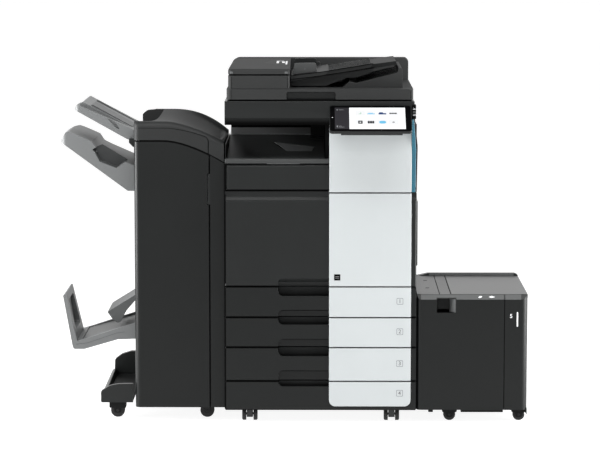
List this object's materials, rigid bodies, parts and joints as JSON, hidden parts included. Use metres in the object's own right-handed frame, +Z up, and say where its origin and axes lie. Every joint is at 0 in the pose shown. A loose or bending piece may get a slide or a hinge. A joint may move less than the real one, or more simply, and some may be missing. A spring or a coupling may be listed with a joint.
{
  "type": "photocopier",
  "caption": "Floor-standing photocopier with document feeder, scanner, tilting panel and paper drawers, a folding and stapling finisher on its left and a tall paper tray on its right.",
  "frame": {"origin": "centre of the whole machine's outer box, on the floor that its casters stand on", "axes": "+Z up; the front with its doors and panel faces -Y; +X runs from the finisher to the large-capacity tray"},
  "size_m": [1.514, 0.7034, 1.17],
  "materials": {
    "black_plastic": "fine texture, semi-matt",
    "white_plastic": "smooth satin",
    "grey_plastic": "fine texture, matt",
    "steel": "galvanised sheet",
    "black_steel": "semi-matt paint on sheet steel",
    "glass": "polished",
    "rubber": "matt",
    "belt": "glossy film",
    "toner_yellow": "satin",
    "toner_magenta": "satin",
    "toner_cyan": "satin",
    "toner_black": "satin"
  },
  "bodies": {
    "main": {"engine_frame": "steel", "pedestal_frame": "black_steel", "left_cover": "black_plastic", "rear_cover": "black_plastic", "right_cover": "black_plastic", "output_tray": "black_plastic", "upper_white_cover": "white_plastic", "toner_yellow": "toner_yellow", "toner_magenta": "toner_magenta", "toner_cyan": "toner_cyan", "toner_black": "toner_black", "waste_toner_box": "grey_plastic", "transfer_belt_unit": "belt", "fuser_unit": "black_plastic", "scanner_body": "black_plastic", "platen_glass": "glass", "finisher_case": "black_plastic", "finisher_upper_tray": "grey_plastic", "booklet_tray": "grey_plastic", "finisher_foot": "black_plastic"},
    "toner_door": {"toner_door": "black_plastic"},
    "front_door": {"front_door": "black_plastic", "front_door_white_panel": "white_plastic"},
    "tray_1": {"tray_1": "black_plastic", "tray_1_white_panel": "white_plastic"},
    "tray_2": {"tray_2": "black_plastic", "tray_2_white_panel": "white_plastic"},
    "tray_3": {"tray_3": "black_plastic", "tray_3_white_panel": "white_plastic"},
    "tray_4": {"tray_4": "black_plastic", "tray_4_white_panel": "white_plastic"},
    "scan_carriage": {"scan_carriage": "steel"},
    "panel": {"panel_housing": "black_plastic"},
    "adf": {"adf_base": "black_plastic"},
    "adf_cover": {"adf_feed_cover": "black_plastic"},
    "adf_tray": {"adf_document_tray": "black_plastic"},
    "front_guide": {"adf_front_guide": "grey_plastic"},
    "rear_guide": {"adf_rear_guide": "grey_plastic"},
    "feed_roller": {"adf_feed_roller": "rubber"},
    "right_door": {"right_door": "black_plastic"},
    "bypass_tray": {"bypass_tray": "black_plastic"},
    "finisher_door": {"finisher_front_door": "black_plastic"},
    "finisher_top": {"finisher_top_cover": "black_plastic"},
    "finisher_lower_tray": {"finisher_lower_tray": "grey_plastic"},
    "booklet_flap": {"booklet_flap": "grey_plastic"},
    "lcc": {"lcc_case": "black_plastic"},
    "lcc_lid": {"lcc_lid": "black_plastic"},
    "lcc_lift_plate": {"lcc_lift_plate": "steel"},
    "pedestal_wheel_front_left": {"pedestal_wheel_front_left": "rubber"},
    "pedestal_wheel_rear_left": {"pedestal_wheel_rear_left": "rubber"},
    "pedestal_wheel_front_right": {"pedestal_wheel_front_right": "rubber"},
    "pedestal_wheel_rear_right": {"pedestal_wheel_rear_right": "rubber"},
    "finisher_wheel_front_left": {"finisher_wheel_front_left": "rubber"},
    "finisher_wheel_rear_left": {"finisher_wheel_rear_left": "rubber"},
    "finisher_wheel_front_right": {"finisher_wheel_front_right": "rubber"},
    "finisher_wheel_rear_right": {"finisher_wheel_rear_right": "rubber"},
    "lcc_wheel_front_left": {"lcc_wheel_front_left": "rubber"},
    "lcc_wheel_rear_left": {"lcc_wheel_rear_left": "rubber"},
    "lcc_wheel_front_right": {"lcc_wheel_front_right": "rubber"},
    "lcc_wheel_rear_right": {"lcc_wheel_rear_right": "rubber"}
  },
  "joints": [
    {"name": "adf_lift", "type": "hinge", "parent": "main", "child": "adf", "pos_m": [0.088, 0.35166, 1.0465], "axis": [-1, 0, 0], "range_deg": [0, 70]},
    {"name": "adf_cover_lift", "type": "hinge", "parent": "adf", "child": "adf_cover", "pos_m": [-0.2095, 0.03666, 1.1325], "axis": [0, -1, 0], "range_deg": [0, 75]},
    {"name": "adf_tray_lift", "type": "hinge", "parent": "adf", "child": "adf_tray", "pos_m": [-0.008, 0.04166, 1.124], "axis": [0, -1, 0], "range_deg": [0, 20]},
    {"name": "front_guide_slide", "type": "slide", "parent": "adf_tray", "child": "front_guide", "axis": [0, 1, 0], "range_m": [-0.02, 0.1]},
    {"name": "rear_guide_slide", "type": "slide", "parent": "adf_tray", "child": "rear_guide", "axis": [0, 1, 0], "range_m": [-0.1, 0.02]},
    {"name": "feed_roller_spin", "type": "hinge", "parent": "adf", "child": "feed_roller", "pos_m": [-0.062, 0.03766, 1.12], "axis": [0, 1, 0], "continuous": true},
    {"name": "scan_carriage_travel", "type": "slide", "parent": "main", "child": "scan_carriage", "axis": [1, 0, 0], "range_m": [0, 0.42]},
    {"name": "panel_tilt", "type": "hinge", "parent": "main", "child": "panel", "pos_m": [0.2455, -0.21863, 0.99094], "axis": [1, 0, 0], "range_deg": [-7, 50]},
    {"name": "toner_door_open", "type": "hinge", "parent": "main", "child": "toner_door", "pos_m": [-0.053, -0.20634, 0.7642], "axis": [1, 0, 0], "range_deg": [0, 80]},
    {"name": "front_door_open", "type": "hinge", "parent": "main", "child": "front_door", "pos_m": [0.088, -0.20634, 0.4525], "axis": [1, 0, 0], "range_deg": [0, 85]},
    {"name": "tray_1_slide", "type": "slide", "parent": "main", "child": "tray_1", "axis": [0, -1, 0], "range_m": [0, 0.4]},
    {"name": "tray_2_slide", "type": "slide", "parent": "main", "child": "tray_2", "axis": [0, -1, 0], "range_m": [0, 0.4]},
    {"name": "tray_3_slide", "type": "slide", "parent": "main", "child": "tray_3", "axis": [0, -1, 0], "range_m": [0, 0.4]},
    {"name": "tray_4_slide", "type": "slide", "parent": "main", "child": "tray_4", "axis": [0, -1, 0], "range_m": [0, 0.4]},
    {"name": "right_door_open", "type": "hinge", "parent": "main", "child": "right_door", "pos_m": [0.395, 0.07666, 0.4555], "axis": [0, 1, 0], "range_deg": [0, 30]},
    {"name": "bypass_tray_open", "type": "hinge", "parent": "right_door", "child": "bypass_tray", "pos_m": [0.401, 0.05166, 0.5015], "axis": [0, 1, 0], "range_deg": [0, 60]},
    {"name": "finisher_door_open", "type": "hinge", "parent": "main", "child": "finisher_door", "pos_m": [-0.512, -0.17434, 0.48], "axis": [0, 0, -1], "range_deg": [0, 100]},
    {"name": "finisher_top_lift", "type": "hinge", "parent": "main", "child": "finisher_top", "pos_m": [-0.369, 0.32266, 0.844], "axis": [-1, 0, 0], "range_deg": [0, 45]},
    {"name": "finisher_tray_travel", "type": "slide", "parent": "main", "child": "finisher_lower_tray", "axis": [0, 0, 1], "range_m": [-0.25, 0.02]},
    {"name": "booklet_flap_lift", "type": "hinge", "parent": "main", "child": "booklet_flap", "pos_m": [-0.522, 0.03666, 0.404], "axis": [0, 1, 0], "range_deg": [0, 50]},
    {"name": "lcc_slide", "type": "slide", "parent": "main", "child": "lcc", "axis": [1, 0, 0], "range_m": [0, 0.2]},
    {"name": "lcc_lid_open", "type": "hinge", "parent": "lcc", "child": "lcc_lid", "pos_m": [0.633, 0.24006, 0.4217], "axis": [-1, 0, 0], "range_deg": [0, 80]},
    {"name": "lcc_lift", "type": "slide", "parent": "lcc", "child": "lcc_lift_plate", "axis": [0, 0, 1], "range_m": [0, 0.3]},
    {"name": "pedestal_wheel_front_left_roll", "type": "hinge", "parent": "main", "child": "pedestal_wheel_front_left", "pos_m": [-0.143, -0.15134, 0.021], "axis": [1, 0, 0], "continuous": true},
    {"name": "pedestal_wheel_rear_left_roll", "type": "hinge", "parent": "main", "child": "pedestal_wheel_rear_left", "pos_m": [-0.143, 0.29166, 0.021], "axis": [1, 0, 0], "continuous": true},
    {"name": "pedestal_wheel_front_right_roll", "type": "hinge", "parent": "main", "child": "pedestal_wheel_front_right", "pos_m": [0.319, -0.15134, 0.021], "axis": [1, 0, 0], "continuous": true},
    {"name": "pedestal_wheel_rear_right_roll", "type": "hinge", "parent": "main", "child": "pedestal_wheel_rear_right", "pos_m": [0.319, 0.29166, 0.021], "axis": [1, 0, 0], "continuous": true},
    {"name": "finisher_wheel_front_left_roll", "type": "hinge", "parent": "main", "child": "finisher_wheel_front_left", "pos_m": [-0.578, -0.09634, 0.023], "axis": [0, 1, 0], "continuous": true},
    {"name": "finisher_wheel_rear_left_roll", "type": "hinge", "parent": "main", "child": "finisher_wheel_rear_left", "pos_m": [-0.578, 0.26166, 0.023], "axis": [0, 1, 0], "continuous": true},
    {"name": "finisher_wheel_front_right_roll", "type": "hinge", "parent": "main", "child": "finisher_wheel_front_right", "pos_m": [-0.284, -0.09634, 0.023], "axis": [0, 1, 0], "continuous": true},
    {"name": "finisher_wheel_rear_right_roll", "type": "hinge", "parent": "main", "child": "finisher_wheel_rear_right", "pos_m": [-0.284, 0.26166, 0.023], "axis": [0, 1, 0], "continuous": true},
    {"name": "lcc_wheel_front_left_roll", "type": "hinge", "parent": "lcc", "child": "lcc_wheel_front_left", "pos_m": [0.508, -0.14634, 0.0195], "axis": [0, 1, 0], "continuous": true},
    {"name": "lcc_wheel_rear_left_roll", "type": "hinge", "parent": "lcc", "child": "lcc_wheel_rear_left", "pos_m": [0.508, 0.21166, 0.0195], "axis": [0, 1, 0], "continuous": true},
    {"name": "lcc_wheel_front_right_roll", "type": "hinge", "parent": "lcc", "child": "lcc_wheel_front_right", "pos_m": [0.734, -0.14634, 0.0195], "axis": [0, 1, 0], "continuous": true},
    {"name": "lcc_wheel_rear_right_roll", "type": "hinge", "parent": "lcc", "child": "lcc_wheel_rear_right", "pos_m": [0.734, 0.21166, 0.0195], "axis": [0, 1, 0], "continuous": true}
  ],
  "couplings": [
    {"joint": "rear_guide_slide", "follows": "front_guide_slide", "ratio": -1}
  ]
}
